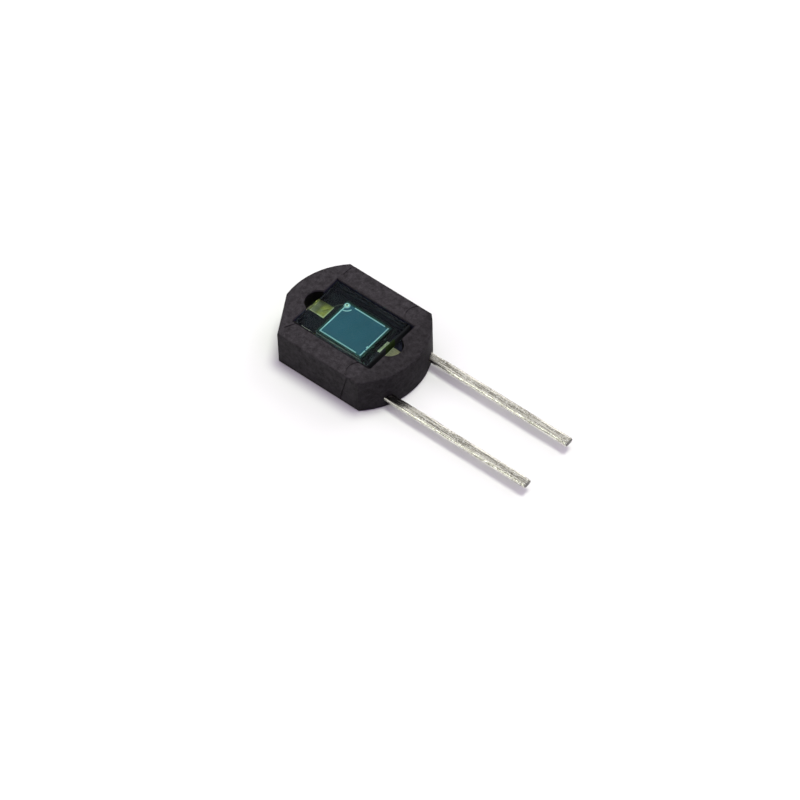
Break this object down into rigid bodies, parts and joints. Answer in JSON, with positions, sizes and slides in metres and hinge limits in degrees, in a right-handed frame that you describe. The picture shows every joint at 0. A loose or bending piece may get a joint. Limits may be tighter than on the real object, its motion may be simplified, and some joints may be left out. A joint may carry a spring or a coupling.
{
  "type": "photodiode",
  "caption": "Flat-sided round black moulded photodiode: a blue-green filter window over a silicon chip, with flat tinned leads from one end; turns visible light into a small current.",
  "frame": {"origin": "centre of the housing's flat back face", "axes": "+X along the leads towards their cut ends, +Y towards the anode lead's side, +Z out of the window"},
  "size_m": [0.0166, 0.006, 0.0022],
  "materials": {
    "moulding_black": "fine grained, matte black moulding compound",
    "filter": "polished blue-green filter plate",
    "adhesive": "clear adhesive bond line",
    "silicon": "smooth coated silicon",
    "metal_film": "evaporated metal film",
    "bond_metal": "bright drawn wire",
    "paste": "cured dark paste",
    "tinned": "hot-dipped tin, streaked and slightly lumpy"
  },
  "bodies": {
    "root": {"housing": "moulding_black", "filter_glass": "filter", "filter_adhesive": "adhesive", "chip": "silicon", "contact_ring": "metal_film", "bond_wire": "bond_metal", "die_attach": "paste", "cathode_lead": "tinned", "anode_lead": "tinned"}
  },
  "joints": []
}
